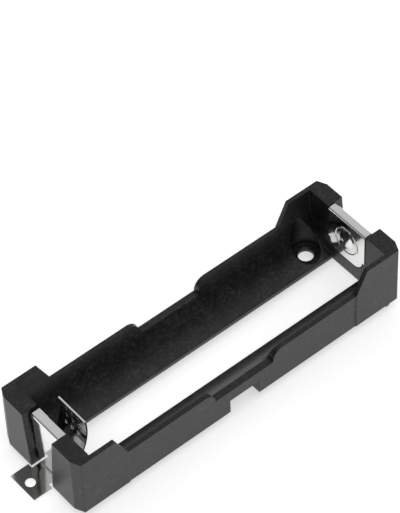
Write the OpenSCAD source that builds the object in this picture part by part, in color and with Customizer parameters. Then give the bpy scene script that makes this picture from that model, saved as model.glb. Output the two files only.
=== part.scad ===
// Surface-mount holder for one cylindrical cell. The seating plane is Z = 0, the cell lies along X,
// and the origin is the middle of the footprint. The negative contact is at the -X end.

/* [Cell] */
// Largest cell diameter that drops into the bay
cell_d = 21.6; // [18:0.1:26.5]
// Radial play between the cell and the bay
cell_play = 0.5; // [0.2:0.05:1]
// Length of the cell
cell_l = 70; // [60:0.5:80]
// Length kept free for the two contacts
contact_room = 5; // [4:0.1:8]
// Height of the cell axis above the seating plane
axis_z = 11.5; // [11.3:0.1:14]

/* [Housing] */
// Overall height
body_h = 15; // [13.5:0.1:18]
// Side wall beside the bay
side_wall = 1; // [0.8:0.05:2.5]
// End wall, outer face to bay
end_wall = 3.7; // [3.2:0.1:5]
// Length of a full-height end block along its top
block_l = 9.3; // [7.5:0.1:12]
// Run of the ramp from a block down to the low wall
ramp_run = 2.8; // [1:0.1:5]
// Height of the low walls
low_z = 9.35; // [8.6:0.05:11]
// Step from the block faces in to the low wall faces
low_setback = 0.15; // [0.1:0.05:0.5]
// Corner cut, along the side face
corner_x = 1; // [0.5:0.1:2]
// Corner cut, along the end face
corner_y = 2.1; // [1:0.1:3]
// Width of the window in the floor
window_w = 8.6; // [8.4:0.1:10]

/* [Finger notches] */
// Length of the notch in the middle of each wall
notch_l = 14.8; // [10:0.1:20]
// Height of the notch sill
notch_z = 6.5; // [5:0.1:8]
// Radius of the wall ends beside the notch
notch_r = 2.6; // [1:0.1:2.8]
// How far the bay is moved out and up behind the notch
relief = 1; // [0.4:0.1:1.2]
// Length of the cut under each wall
foot_cut_l = 7.4; // [4:0.1:12]
// Height of the cut under each wall
foot_cut_z = 3.5; // [2:0.1:4]
// Depth of the cut under each wall
foot_cut_d = 2.2; // [1:0.1:2.6]

/* [End slots] */
// Mouth of the slot at the negative end
negative_slot_w = 9.2; // [9:0.1:11]
// Mouth of the slot at the positive end
positive_slot_w = 11.3; // [11:0.1:13]
// How much narrower each slot side is at the bottom
slot_draft = 1.3; // [0.8:0.1:1.3]
// Thickness of the web that the contacts hook over
web_t = 1.6; // [1.2:0.1:2]
// How far the top of the web at the negative end lies below the top of the blocks
negative_drop = 1.1; // [0.8:0.1:2]
// How far the top of the web at the positive end lies below the top of the blocks
positive_drop = 0.5; // [0.5:0.1:2]
// Depth of the seat behind the positive plate
plate_seat = 0.25; // [0.1:0.05:0.4]

/* [Fixing] */
// Screw hole
screw_d = 3.3; // [2.5:0.1:4]
// Pocket that clears the screw head
head_d = 6.2; // [5.5:0.1:7.2]
// Floor left under the screw head
head_floor = 1; // [0.8:0.1:1.5]
// Width of the chamfer round the screw hole
screw_chamfer = 0.2; // [0.1:0.1:0.8]
// Screw hole, from the bay end
screw_from_end = 4; // [3.7:0.1:6]
// Screw hole, from the long centre line
screw_y = 8; // [7:0.1:8.4]
// Locating peg
peg_d = 1.8; // [1.2:0.1:2]
// Length of a peg below the seating plane
peg_l = 2.4; // [1:0.1:3]
// Peg, from the outer end face
peg_from_end = 2.5; // [2.2:0.1:3]
// Peg, from the outer side face
peg_from_side = 1.8; // [1.6:0.1:2.5]

/* [Contacts] */
// Thickness of the spring sheet
sheet_t = 0.35; // [0.2:0.05:0.5]
// Gap between the sheet and the web
sheet_gap = 0.05; // [0.02:0.01:0.1]
// Inside radius of the bends
bend_r = 0.3; // [0.2:0.05:0.5]
// Width of the negative strip over the web
negative_w = 8.2; // [7.6:0.1:8.4]
// Width of the positive strip over the web
positive_w = 10.8; // [8:0.1:10.9]
// Width of the strip outside the web
outer_w = 7.1; // [6:0.1:7.2]
// Width of the neck above the tab
neck_w = 5.3; // [3:0.1:6]
// Height at which the strip has its full width again
neck_z = 4.4; // [4:0.1:6]
// Width of the solder tab
tab_w = 7.6; // [6:0.1:9]
// Reach of the tab beyond the end face
tab_out = 4.8; // [3:0.1:7]
// Hole in the tab
tab_hole_d = 2.1; // [1:0.1:3]
// Hole, from the tip of the tab
tab_hole_in = 2; // [1.8:0.1:2.4]

/* [Negative leaf] */
// Radius of the turn at the foot of the leaf
turn_r = 0.8; // [0.5:0.05:1]
// Height of the centre of the turn
turn_z = 2.3; // [2.2:0.1:3]
// Lean of the leaf as it leaves the turn, in degrees
leaf_lean = 27; // [15:1:35]
// Straight length above the turn
leaf_rise = 4; // [2:0.1:5]
// Radius of the bowed part
leaf_r = 13; // [10:0.5:25]
// How far the tip leans back, in degrees
tip_lean = 11; // [0:1:15]
// Pitch of the pressed dots
dot_pitch = 1.85; // [1.4:0.05:2.2]
// Diameter of a dot
dot_d = 1; // [0.6:0.1:1.2]
// Height of a dot
dot_h = 0.25; // [0.1:0.05:0.3]
// Height of the middle dot
dot_z = 10.4; // [9:0.1:11]

/* [Positive plate] */
// Height of the lower edge
plate_z = 3.9; // [3:0.1:6]
// Width of the plate on the bay side
plate_w = 9.6; // [7:0.1:10]
// Radius of the lower corners
plate_r = 2.6; // [1:0.1:4]
// Diameter of the raised boss
boss_d = 4; // [2:0.1:4.5]
// Height of the raised boss
boss_h = 0.45; // [0.2:0.05:0.6]
// Diameter of the bead round the boss
bead_d = 6.6; // [5:0.1:7]
// Length of the pressed rib over the boss
rib_l = 2.6; // [1:0.1:5]
// Height of the rib above the seating plane
rib_z = 12.5; // [12.4:0.1:13]

/* [Hidden] */
$fn = 96;
plastic = [0.17, 0.17, 0.18];
nickel = [0.80, 0.79, 0.76];
over = 1;                  // how far a cutter reaches past the face that it cuts
bay_r = cell_d / 2 + cell_play;
bay_l = cell_l + contact_room;
body_l = bay_l + 2 * end_wall;
body_w = 2 * (bay_r + side_wall);
low_w = body_w - 2 * low_setback;
ramp_top = body_l / 2 - block_l;
ramp_foot = ramp_top - ramp_run;
web_in = end_wall - web_t; // web, from the outer end face
negative_top = body_h - negative_drop;
positive_top = body_h - positive_drop;
screw_x = bay_l / 2 - screw_from_end;
peg_x = body_l / 2 - peg_from_end;
peg_y = body_w / 2 - peg_from_side;
bead_r = 0.3;
bead_proud = 0.12;
rib_w = 0.8;
rib_r = 0.45;
rib_proud = 0.2;           // rise of the rib above the plate
plate_gap = 0.3;           // between the positive plate and the rim of its seat
boss_z = rib_z - 3.3;
dimple_h = 0.15;           // depth of the hollow behind each dot

// ---- housing ----------------------------------------------------------------------------------

// Rounds an upper wall end whose edge is at x and whose top is at z; side is +1 or -1
module wall_end(x, z, side) {
    translate([side * x, z - notch_r])
        difference() {
            translate([side > 0 ? -over : -notch_r, 0])
                square([notch_r + over, notch_r + over]);
            translate([side * notch_r, 0]) circle(notch_r);
        }
}

// Outline of the side walls seen along Y: end blocks, ramps, low walls and the finger notch
module side_outline() {
    difference() {
        polygon([
            [-body_l / 2, 0], [body_l / 2, 0],
            [body_l / 2, body_h], [ramp_top, body_h], [ramp_foot, low_z],
            [notch_l / 2, low_z], [notch_l / 2, notch_z],
            [-notch_l / 2, notch_z], [-notch_l / 2, low_z],
            [-ramp_foot, low_z], [-ramp_top, body_h], [-body_l / 2, body_h]
        ]);
        for (side = [-1, 1])
            intersection() {
                wall_end(notch_l / 2, low_z, side);
                translate([side > 0 ? notch_l / 2 : -notch_l / 2 - notch_r, notch_z])
                    square([notch_r, body_h]);
            }
    }
}

// Footprint: cut corners at the blocks, slightly narrower between them
module footprint() {
    half = [
        [body_l / 2, 0], [body_l / 2, body_w / 2 - corner_y], [body_l / 2 - corner_x, body_w / 2],
        [ramp_foot, body_w / 2], [ramp_foot, low_w / 2], [0, low_w / 2]
    ];
    for (x = [0, 1], y = [0, 1])
        mirror([x, 0]) mirror([0, y])
            polygon(concat(half, [[0, 0]]));
}

// The trough that the cell lies in: round below its axis, straight above
module bay(length) {
    rotate([0, 90, 0]) cylinder(r = bay_r, h = length, center = true);
    translate([-length / 2, -bay_r, 0]) cube([length, 2 * bay_r, body_h]);
}

// Slot from the mouth at the top to the narrower foot, cut depth deep from the end face
module end_slot(mouth, depth) {
    foot = mouth - 2 * slot_draft;
    grow = (mouth - foot) / body_h * over;
    rotate([90, 0, 90])
        linear_extrude(depth)
            polygon([
                [-foot / 2 + grow / 2, -over], [foot / 2 - grow / 2, -over],
                [mouth / 2 + grow / 2, body_h + over], [-mouth / 2 - grow / 2, body_h + over]
            ]);
}

// Web between the two pillars at one end, with a rounded crest that the strip is bent over
module web(width, thickness, web_z) {
    crest = bend_r + sheet_gap;
    rotate([90, 0, 0])
        linear_extrude(width, center = true)
            union() {
                square([thickness, web_z - sheet_gap - crest]);
                translate([crest, 0]) square([thickness - 2 * crest, web_z - sheet_gap]);
                for (x = [crest, thickness - crest])
                    translate([x, web_z - sheet_gap - crest]) circle(crest);
            }
}

// Opens one end for its contact; drawn for the +X end
module end_opening(mouth, web_z) {
    translate([body_l / 2 - web_in, 0, 0]) end_slot(mouth, web_in + over);
    difference() {
        translate([bay_l / 2 - over, 0, 0]) end_slot(mouth, end_wall + over);
        translate([bay_l / 2 - 2 * over, -body_w / 2, -2 * over])
            cube([end_wall + 3 * over, body_w, web_z - bend_r - 2 * sheet_gap + 2 * over]);
    }
}

// Screw hole, its chamfer and the pocket for the head; drawn at the origin
module screw_seat() {
    translate([0, 0, -over]) cylinder(d = screw_d, h = head_floor + 2 * over);
    translate([0, 0, head_floor - screw_chamfer])
        cylinder(d1 = screw_d, d2 = screw_d + 2 * screw_chamfer, h = screw_chamfer);
    translate([0, 0, head_floor]) cylinder(d = head_d, h = body_h);
}

// Peg with a tapered tip, pointing down from the seating plane
module peg() {
    tip = peg_d / 3;
    translate([0, 0, -peg_l + tip]) cylinder(d = peg_d, h = peg_l - tip + over);
    translate([0, 0, -peg_l]) cylinder(d1 = peg_d - tip, d2 = peg_d, h = tip);
}

// Seat of the positive plate in the end wall, a little larger than the plate
module plate_recess() {
    wide = plate_w + 2 * plate_gap;
    low = plate_z - plate_gap;
    r = plate_r + plate_gap;
    translate([bay_l / 2 - over, 0, 0])
        rotate([90, 0, 90])
            linear_extrude(plate_seat + over) {
                translate([-wide / 2, low + r]) square([wide, body_h]);
                translate([-wide / 2 + r, low]) square([wide - 2 * r, body_h]);
                for (y = [-1, 1]) translate([y * (wide / 2 - r), low + r]) circle(r);
            }
}

module housing() {
    color(plastic) {
        difference() {
            intersection() {
                linear_extrude(body_h) footprint();
                rotate([90, 0, 0]) linear_extrude(body_w, center = true) side_outline();
            }
            translate([0, 0, axis_z]) bay(bay_l);
            for (side = [-1, 1])
                translate([0, side * relief, axis_z + relief]) bay(notch_l);
            translate([-bay_l / 2, -window_w / 2, -over]) cube([bay_l, window_w, body_h]);
            for (side = [-1, 1])
                translate([-foot_cut_l / 2, side > 0 ? low_w / 2 - foot_cut_d : -low_w / 2 - over, -over])
                    cube([foot_cut_l, foot_cut_d + over, foot_cut_z + over]);
            end_opening(positive_slot_w, positive_top);
            mirror([1, 0, 0]) end_opening(negative_slot_w, negative_top);
            plate_recess();
            for (turn = [0, 180])
                rotate(turn) translate([screw_x, screw_y, 0]) screw_seat();
        }
        translate([bay_l / 2 + plate_seat, 0, 0]) web(positive_slot_w, web_t - plate_seat, positive_top);
        mirror([1, 0, 0]) translate([bay_l / 2, 0, 0]) web(negative_slot_w, web_t, negative_top);
        for (turn = [0, 180])
            rotate(turn) translate([peg_x, -peg_y, 0]) peg();
    }
}

// ---- contacts ---------------------------------------------------------------------------------
// A strip is a path of stations [u, z, heading]; u runs inwards from the outer end face.

facet = 5;                 // degrees of bend between two stations

// Stations of a bend that starts at a station and turns by an angle, positive to the left
function bend(from, r, turn) =
    let (side = sign(turn), n = ceil(abs(turn) / facet), h0 = from[2])
    [for (i = [1 : n])
        let (h = h0 + turn * i / n)
        [from[0] + side * r * (sin(h) - sin(h0)), from[1] - side * r * (cos(h) - cos(h0)), h]];

// Station a distance further on along the heading
function ahead(from, d) = [from[0] + d * cos(from[2]), from[1] + d * sin(from[2]), from[2]];

function last(path) = path[len(path) - 1];

// Both edges of the sheet along a path
function sheet_outline(path) = concat(
    [for (s = path) [s[0] - sheet_t / 2 * sin(s[2]), s[1] + sheet_t / 2 * cos(s[2])]],
    [for (i = [len(path) - 1 : -1 : 0])
        let (s = path[i]) [s[0] + sheet_t / 2 * sin(s[2]), s[1] - sheet_t / 2 * cos(s[2])]]
);

mid_r = bend_r + sheet_t / 2;
outer_u = web_in - sheet_gap - sheet_t / 2;

// Tab, bend, outer leg and the fold over the web down to the first station of the inner leg
function hook(inner_u, web_z) =
    let (
        crest_z = web_z + sheet_t / 2,
        tip = [-tab_out, sheet_t / 2, 0],
        foot = ahead(tip, tab_out + outer_u - mid_r),
        up = bend(foot, mid_r, 90),
        top = ahead(last(up), crest_z - mid_r - last(up)[1]),
        over_web = bend(top, mid_r, -90),
        flat_end = ahead(last(over_web), inner_u - mid_r - last(over_web)[0]),
        down = bend(flat_end, mid_r, -90)
    )
    concat([tip, foot], up, [top], over_web, [flat_end], down);

negative_u = end_wall + sheet_gap + sheet_t / 2;
positive_u = end_wall - plate_seat + sheet_gap + sheet_t / 2;

function negative_path() =
    let (
        start = hook(negative_u, negative_top),
        low = ahead(last(start), last(start)[1] - turn_z),
        turn = bend(low, turn_r, 180 - leaf_lean),
        rise = ahead(last(turn), leaf_rise),
        bow = bend(rise, leaf_r, leaf_lean + tip_lean)
    )
    concat(start, [low], turn, [rise], bow);

function positive_path() =
    let (
        start = hook(positive_u, positive_top),
        low = ahead(last(start), last(start)[1] - plate_z)
    )
    concat(start, [low]);

// Puts a (u, z) profile at the +X end and gives it a width along Y
module strip(path, width) {
    translate([body_l / 2, 0, 0])
        mirror([1, 0, 0])
            rotate([90, 0, 0])
                linear_extrude(width, center = true) polygon(sheet_outline(path));
}

// Front shape of the outer leg and tab: shoulder, neck and full width, seen along X
module outer_shape(width, web_z) {
    shoulder_z = neck_z - (outer_w - neck_w);
    crest_low = web_z - 3 * mid_r;
    polygon([
        [-neck_w / 2, -over], [neck_w / 2, -over], [neck_w / 2, shoulder_z],
        [outer_w / 2, neck_z], [outer_w / 2, crest_low], [width / 2, web_z - mid_r],
        [width / 2, body_h + over], [-width / 2, body_h + over], [-width / 2, web_z - mid_r],
        [-outer_w / 2, crest_low], [-outer_w / 2, neck_z], [-neck_w / 2, shoulder_z]
    ]);
}

// Space that the outer leg may fill, between the end face and the middle of the web
module outer_space(width, web_z) {
    translate([body_l / 2 - end_wall + web_t / 2, 0, 0])
        rotate([90, 0, 90])
            linear_extrude(end_wall) outer_shape(width, web_z);
}

// The wide part of the tab, outside the end face
module tab_space() {
    shoulder = sheet_t;
    translate([body_l / 2 + shoulder, -tab_w / 2, -over])
        cube([tab_out + over, tab_w, 2 * over + sheet_t]);
    translate([body_l / 2 - over, -neck_w / 2, -over])
        cube([tab_out, neck_w, 2 * over + sheet_t]);
}

// Space on the bay side of the web
module inner_space(width) {
    translate([0, -width / 2, -over])
        cube([body_l / 2 - end_wall + web_t / 2, width, body_h + 2 * over]);
}

module tab_hole() {
    translate([body_l / 2 + tab_out - tab_hole_in, 0, -over])
        cylinder(d = tab_hole_d, h = 2 * over + sheet_t);
}

// One contact at the +X end, cut to its front shape
module contact(path, width, web_z) {
    difference() {
        intersection() {
            strip(path, max(width, tab_w));
            union() {
                outer_space(width, web_z);
                tab_space();
                inner_space(width);
            }
        }
        tab_hole();
    }
}

// Low dome on the bay side of a sheet whose face is at the origin, raised towards -X
module dome(d, h, depth = sheet_t / 2) {
    ball_r = (d * d / 4 + h * h) / (2 * h);
    intersection() {
        translate([ball_r - h, 0, 0]) sphere(ball_r, $fn = 48);
        translate([-h, -d / 2, -d / 2]) cube([h + depth, d, d]);
    }
}

// First station of the bow, and how far in its outer face is at a height
function bow_start() =
    let (foot = bend([negative_u, turn_z, -90], turn_r, 180 - leaf_lean))
    ahead(last(foot), leaf_rise);
function bow_u(z) =
    let (s = bow_start(), cz = s[1] + leaf_r * cos(s[2]))
    s[0] - leaf_r * sin(s[2]) + sqrt(leaf_r * leaf_r - (z - cz) * (z - cz)) + sheet_t / 2;

// Repeats a dot over the leaf, three by three
module dots() {
    for (row = [-1, 0, 1], column = [-1, 0, 1]) {
        z = dot_z + row * dot_pitch;
        translate([body_l / 2 - bow_u(z), column * dot_pitch, z]) children();
    }
}

module negative_contact() {
    color(nickel)
        mirror([1, 0, 0])
            difference() {
                union() {
                    contact(negative_path(), negative_w, negative_top);
                    dots() dome(dot_d, dot_h);
                }
                dots() translate([sheet_t, 0, 0]) dome(dot_d - sheet_t / 2, dimple_h, over);
            }
}

// What is taken off round the lower corners of the plate
module plate_corners(face_x) {
    for (side = [-1, 1])
        translate([face_x - over, side * (plate_w / 2 - plate_r), plate_z + plate_r])
            rotate([90, 0, 90])
                linear_extrude(sheet_t + over + sheet_gap / 2)
                    difference() {
                        translate([side > 0 ? 0 : -plate_r - over, -plate_r - over])
                            square(plate_r + over);
                        circle(plate_r);
                    }
}

module positive_contact() {
    face_x = body_l / 2 - positive_u - sheet_t / 2;
    color(nickel) {
        difference() {
            contact(positive_path(), positive_w, positive_top);
            plate_corners(face_x);
        }
        translate([face_x, 0, boss_z]) {
            dome(boss_d, boss_h);
            rotate([0, -90, 0])
                rotate_extrude()
                    translate([bead_d / 2, bead_proud - bead_r]) circle(bead_r, $fn = 32);
        }
        translate([face_x + rib_r - rib_proud, 0, rib_z]) {
            for (side = [-1, 1])
                translate([0, side * (rib_l - rib_w) / 2, 0]) sphere(rib_r, $fn = 48);
            rotate([90, 0, 0]) cylinder(r = rib_r, h = rib_l - rib_w, center = true);
        }
    }
}

housing();
negative_contact();
positive_contact();
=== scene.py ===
# %% [markdown]
# # A holder for one cylindrical cell
# The holder is one black moulding with a sprung contact folded over each end wall. Its solids come
# ready made from the frame, in metres, with Z = 0 on the board that it is soldered to. This lesson
# gives them their finishes, adds the small marks that moulding and stamping leave, and lights them.

import math

import bmesh
import bpy
import numpy as np
from mathutils import Matrix, Vector


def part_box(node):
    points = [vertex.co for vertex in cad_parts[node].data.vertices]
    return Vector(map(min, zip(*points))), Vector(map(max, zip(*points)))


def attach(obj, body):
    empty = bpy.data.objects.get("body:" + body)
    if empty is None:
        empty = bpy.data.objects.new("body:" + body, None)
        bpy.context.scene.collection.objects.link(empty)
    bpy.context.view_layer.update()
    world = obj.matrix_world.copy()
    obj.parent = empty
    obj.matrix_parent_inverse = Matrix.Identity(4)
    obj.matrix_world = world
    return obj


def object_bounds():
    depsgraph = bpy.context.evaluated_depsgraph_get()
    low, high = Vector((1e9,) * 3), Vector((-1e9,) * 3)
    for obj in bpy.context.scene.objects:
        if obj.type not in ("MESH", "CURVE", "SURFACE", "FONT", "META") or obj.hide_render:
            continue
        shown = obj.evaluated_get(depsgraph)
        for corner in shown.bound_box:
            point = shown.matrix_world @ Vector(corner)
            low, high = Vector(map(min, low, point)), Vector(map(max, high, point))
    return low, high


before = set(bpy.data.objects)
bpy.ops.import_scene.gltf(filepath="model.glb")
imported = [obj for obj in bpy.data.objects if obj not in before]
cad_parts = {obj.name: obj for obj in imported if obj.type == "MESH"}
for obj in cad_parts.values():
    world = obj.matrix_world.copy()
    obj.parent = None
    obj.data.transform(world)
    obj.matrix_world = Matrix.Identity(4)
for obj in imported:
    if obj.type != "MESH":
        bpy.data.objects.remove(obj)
cad_low, cad_high = [[float(v) for v in corner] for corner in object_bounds()]
MM = 0.001
print("nodes:", sorted(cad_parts), "box:", cad_low, cad_high)

# %% [markdown]
# ## Shader maths as Python
# A material is a graph of nodes. Typing `mask * 0.4 + 0.1` is easier to read than four Math nodes, so
# a small class wraps a socket and each operator adds the Math node that does its work.


# %% A socket that can be used in expressions
class Value:
    """An output socket, with + and * that add Math nodes."""

    def __init__(self, paint, socket):
        self.paint = paint
        self.socket = socket

    def _math(self, operation, first, second):
        return self.paint.node("ShaderNodeMath", {"operation": operation}, {0: first, 1: second})[0]

    def __add__(self, other):
        return self._math("ADD", self, other)

    def __radd__(self, other):
        return self._math("ADD", other, self)

    def __mul__(self, other):
        return self._math("MULTIPLY", self, other)

    def __rmul__(self, other):
        return self._math("MULTIPLY", other, self)


class Paint:
    """A material and the few helpers that fill its graph."""

    def __init__(self, name):
        self.material = bpy.data.materials.new(name)
        self.material.use_nodes = True
        self.tree = self.material.node_tree
        self.shader = self.tree.nodes["Principled BSDF"]

    def node(self, kind, settings=None, inputs=None):
        """Adds a node, sets it up, fills its sockets with values or links, and returns its outputs."""
        made = self.tree.nodes.new(kind)
        for key, value in (settings or {}).items():
            if key == "stops":
                for stop, (place, colour) in zip(self._stops(made, len(value)), value):
                    stop.position = place
                    stop.color = colour
            else:
                setattr(made, key, value)
        for key, value in (inputs or {}).items():
            self.fill(made.inputs[key], value)
        return [Value(self, socket) for socket in made.outputs]

    @staticmethod
    def _stops(ramp, count):
        elements = ramp.color_ramp.elements
        while len(elements) < count:
            elements.new(1.0)
        return elements

    def fill(self, socket, value):
        """Links a Value to a socket, or sets a plain number or colour on it."""
        if isinstance(value, Value):
            self.tree.links.new(value.socket, socket)
        else:
            socket.default_value = value

    def set(self, **sockets):
        """Fills the shader's own sockets; an underscore in a name stands for a space."""
        for key, value in sockets.items():
            self.fill(self.shader.inputs[key.replace("_", " ")], value)

    def place(self, scale=(1.0, 1.0, 1.0)):
        """Object coordinates in millimetres, stretched by a scale."""
        coordinates = self.node("ShaderNodeTexCoord")[3]
        factors = tuple(s / MM for s in scale)
        return self.node("ShaderNodeMapping", {"vector_type": "POINT"}, {0: coordinates, 3: factors})[0]

    def noise(self, where, scale, detail=3.0, roughness=0.5):
        """Noise of about `scale` cycles a millimetre, from 0 to 1."""
        inputs = {"Vector": where, "Scale": scale, "Detail": detail, "Roughness": roughness}
        return self.node("ShaderNodeTexNoise", {}, inputs)[0]

    def mix(self, factor, first, second):
        """A colour between two colours."""
        settings = {"data_type": "RGBA"}
        return self.node("ShaderNodeMix", settings, {0: factor, 6: first, 7: second})[2]

    def bump(self, height, distance, strength=1.0, under=None):
        """A normal bent by a height of 0 to 1, with the distance in metres."""
        inputs = {"Height": height, "Distance": distance, "Strength": strength}
        if under is not None:
            inputs["Normal"] = under
        return self.node("ShaderNodeBump", {}, inputs)[0]

    def soft_edges(self, radius):
        """A normal that rounds every edge by a radius, as a mould's cutter and wear do."""
        return self.node("ShaderNodeBevel", {"samples": 6}, {"Radius": radius})[0]


# %% [markdown]
# ## The moulding's plastic
# The housing is glass-filled nylon, black all through. It is dark but not flat: the spark-eroded mould
# leaves a fine grain, glass fibres near the surface make faint mottling, and a tall wall draws long
# flow marks. Almost all the light that leaves it is reflected, so roughness does more than colour.


# %% Black glass-filled plastic
GRAIN_STOPS = [
    (0.38, (0.0006, 0.0006, 0.0007, 1)),
    (0.50, (0.0040, 0.0040, 0.0041, 1)),
    (0.64, (0.0340, 0.0340, 0.0335, 1)),
]


def black_plastic():
    paint = Paint("black_glass_filled_plastic")
    where = paint.place()
    grain = paint.noise(where, 1.5, 5.0, 0.7)
    mottle = paint.noise(where, 0.3, 3.0, 0.55)
    fibres = paint.noise(paint.place((0.5, 2.4, 2.4)), 1.6, 2.0, 0.6)
    specks = paint.node("ShaderNodeValToRGB", {"stops": GRAIN_STOPS}, {0: grain * 0.75 + mottle * 0.25})[0]
    paint.set(
        Base_Color=specks,
        Roughness=0.30 + grain * 0.12 + mottle * 0.08,
        IOR=1.5,
    )
    edges = paint.soft_edges(0.28 * MM)
    fine = paint.bump(grain * 0.7 + fibres * 0.3, 0.03 * MM, 0.6, edges)
    paint.set(Normal=fine)
    return paint.material


# %% [markdown]
# ## The contacts' nickel
# Each contact is stamped from spring sheet and plated with nickel. Plating is bright, with a faint
# warm cast. The rolled sheet keeps fine lines along its length, and handling leaves soft smudges.


# %% Bright nickel
def bright_nickel():
    paint = Paint("bright_nickel")
    rolling = paint.noise(paint.place((0.06, 5.0, 0.06)), 2.2, 3.0, 0.6)
    smudge = paint.noise(paint.place(), 0.35, 3.0, 0.6)
    paint.set(
        Base_Color=paint.mix(smudge, (0.80, 0.79, 0.775, 1), (0.90, 0.895, 0.885, 1)),
        Metallic=1.0,
        Roughness=0.06 + rolling * 0.03 + smudge * 0.05,
    )
    edges = paint.soft_edges(0.05 * MM)
    paint.set(Normal=paint.bump(rolling, 0.003 * MM, 0.35, edges))
    return paint.material


# %% Dress the frame's solids
def dress(node, material):
    """Gives every slot of a frame node one material."""
    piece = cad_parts[node]
    if not piece.material_slots:
        piece.data.materials.append(material)
    for slot in piece.material_slots:
        slot.material = material
    print(f"{node}: {material.name}, {len(piece.data.polygons)} faces")


plastic = black_plastic()
nickel = bright_nickel()
dress("housing", plastic)
dress("negative_contact", nickel)
dress("positive_contact", nickel)

# %% [markdown]
# ## Barbs
# The negative contact is pushed down into a slot of the end wall. Small teeth, sheared from the edges
# of its outer leg, reach almost to the slot's sides. A tooth is too small to matter to the solids, so
# it is a mesh of its own: a sheet wedge that is widest at the top, which lets it in and keeps it there.


# %% Barbs on the negative contact's outer leg
def tooth(middle, side, height=1.2, reach=0.38, sheet=0.35):
    """Eight corners of a wedge: its base lies on the leg's edge and its reach grows with height."""
    low, high = middle[2] - height / 2, middle[2] + height / 2
    root = middle[1] - side * 0.1
    outline = np.array([(root, low), (middle[1], low), (middle[1] + side * reach, high), (root, high)])
    front = np.column_stack([np.full(4, middle[0] - sheet / 2), outline])
    back = np.column_stack([np.full(4, middle[0] + sheet / 2), outline])
    return np.vstack([front, back]) * MM


def barbs(name, end, height_up=7.6, half_width=3.5, inset=1.875):
    """Two teeth on a contact's outer leg, `inset` in from the end face, one on each edge."""
    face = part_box("housing")[0 if end < 0 else 1][0] / MM
    quads = np.array([(0, 3, 2, 1), (4, 5, 6, 7), (0, 1, 5, 4), (1, 2, 6, 5), (2, 3, 7, 6), (3, 0, 4, 7)])
    corners, faces = [], []
    for side in (-1, 1):
        faces += (quads + 8 * len(corners)).tolist()
        corners.append(tooth((face - end * inset, side * half_width, height_up), side))
    mesh = bpy.data.meshes.new(name)
    mesh.from_pydata(np.vstack(corners).tolist(), [], faces)
    shape = bmesh.new()
    shape.from_mesh(mesh)
    bmesh.ops.recalc_face_normals(shape, faces=shape.faces)
    shape.to_mesh(mesh)
    shape.free()
    mesh.materials.append(nickel)
    piece = bpy.data.objects.new(name, mesh)
    bpy.context.scene.collection.objects.link(piece)
    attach(piece, "root")
    print(name, "at", round(face - end * inset, 3), "mm")


barbs("negative_barbs", -1)

# %% [markdown]
# ## Floor
# The floor is a plain pale light table, which glows a little and keeps the shadows thin. It lies just
# under the two locating pegs, so that nothing sinks in.


# %% Pale floor
def pale_floor(half=2.0, glow=0.52):
    paint = Paint("pale_floor")
    speck = paint.noise(paint.place(), 0.02, 2.0, 0.5)
    paint.set(Base_Color=paint.mix(speck, (0.93, 0.93, 0.93, 1), (0.95, 0.95, 0.95, 1)), Roughness=0.9)
    paint.set(Specular_IOR_Level=0.0, Emission_Color=(1, 1, 1, 1), Emission_Strength=glow)
    level = cad_low[2]
    corners = [(-half, -half, level), (half, -half, level), (half, half, level), (-half, half, level)]
    mesh = bpy.data.meshes.new("floor")
    mesh.from_pydata(corners, [], [(0, 1, 2, 3)])
    mesh.materials.append(paint.material)
    floor = bpy.data.objects.new("floor", mesh)
    bpy.context.scene.collection.objects.link(floor)
    print("floor at", level)


pale_floor()

# %% [markdown]
# ## Light
# Dark glossy plastic shows its surroundings. The floor lights the side walls, which reflect it. The
# room is pale on the far side, where it shows in the top faces and the folds of metal, and dim on the
# near side, so that the curved bay stays dark.


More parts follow.
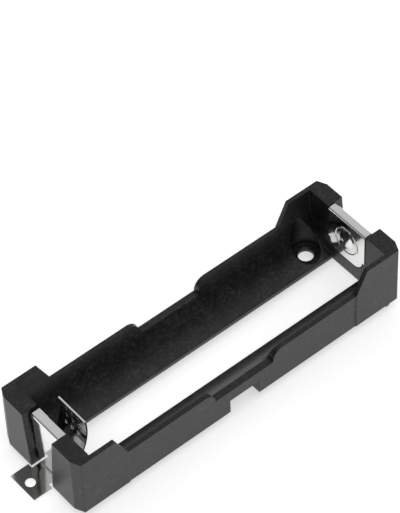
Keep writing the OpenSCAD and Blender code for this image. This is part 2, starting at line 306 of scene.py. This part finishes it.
# %% Soft studio light
def soft_light(dim=0.14, pale=0.58, sun_power=0.9, sun_angle=60.0):
    world = bpy.data.worlds.new("pale_room")
    world.use_nodes = True
    background = world.node_tree.nodes["Background"]
    background.inputs["Color"].default_value = (1, 1, 1, 1)
    nodes, links = world.node_tree.nodes, world.node_tree.links
    towards = nodes.new("ShaderNodeVectorMath")
    towards.operation = "DOT_PRODUCT"
    towards.inputs[1].default_value = (0.40, 0.51, 0.76)
    links.new(nodes.new("ShaderNodeTexCoord").outputs["Generated"], towards.inputs[0])
    fade = nodes.new("ShaderNodeMapRange")
    fade.interpolation_type = "SMOOTHSTEP"
    for key, value in (("From Min", 0.15), ("From Max", 0.95), ("To Min", dim), ("To Max", pale)):
        fade.inputs[key].default_value = value
    links.new(towards.outputs["Value"], fade.inputs["Value"])
    links.new(fade.outputs[0], background.inputs["Strength"])
    bpy.context.scene.world = world
    lamp = bpy.data.lights.new("key", "SUN")
    lamp.energy = sun_power
    lamp.angle = math.radians(sun_angle)
    key = bpy.data.objects.new("key", lamp)
    direction = Vector((0.25, 0.45, -1.0))
    key.rotation_euler = direction.to_track_quat("-Z", "Y").to_euler()
    bpy.context.scene.collection.objects.link(key)
    bpy.context.scene.view_settings.view_transform = "Standard"
    print("room", dim, "to", pale, "sun", sun_power)


soft_light()

# %% [markdown]
# ## Camera
# The camera looks down along the holder from its negative end. It stands at a fixed place and looks
# along a fixed direction, and a long lens keeps the perspective gentle.


# %% Camera
CAMERA_PLACE_MM = (-221.63, -284.11, 456.99)


def aim_camera(azimuth=37.94, elevation=49.61, roll=-2.57, lens=263.39):
    """A camera that looks along a direction given in degrees, tilted by a small roll."""
    az, el, ro = (math.radians(v) for v in (azimuth, elevation, roll))
    ahead = Vector((math.cos(el) * math.sin(az), math.cos(el) * math.cos(az), -math.sin(el)))
    level = ahead.cross(Vector((0, 0, 1))).normalized()
    up = level.cross(ahead)
    right = math.cos(ro) * level + math.sin(ro) * up
    top = -math.sin(ro) * level + math.cos(ro) * up
    place = Vector(CAMERA_PLACE_MM) * MM
    data = bpy.data.cameras.new("camera")
    data.sensor_fit = "HORIZONTAL"
    data.sensor_width = 36.0
    data.lens = lens
    data.clip_start = 0.01
    camera = bpy.data.objects.new("camera", data)
    turn = Matrix((right, top, -ahead)).transposed().to_4x4()
    camera.matrix_world = Matrix.Translation(place) @ turn
    bpy.context.scene.collection.objects.link(camera)
    bpy.context.scene.camera = camera
    print("camera at", [round(v, 4) for v in place])


aim_camera()
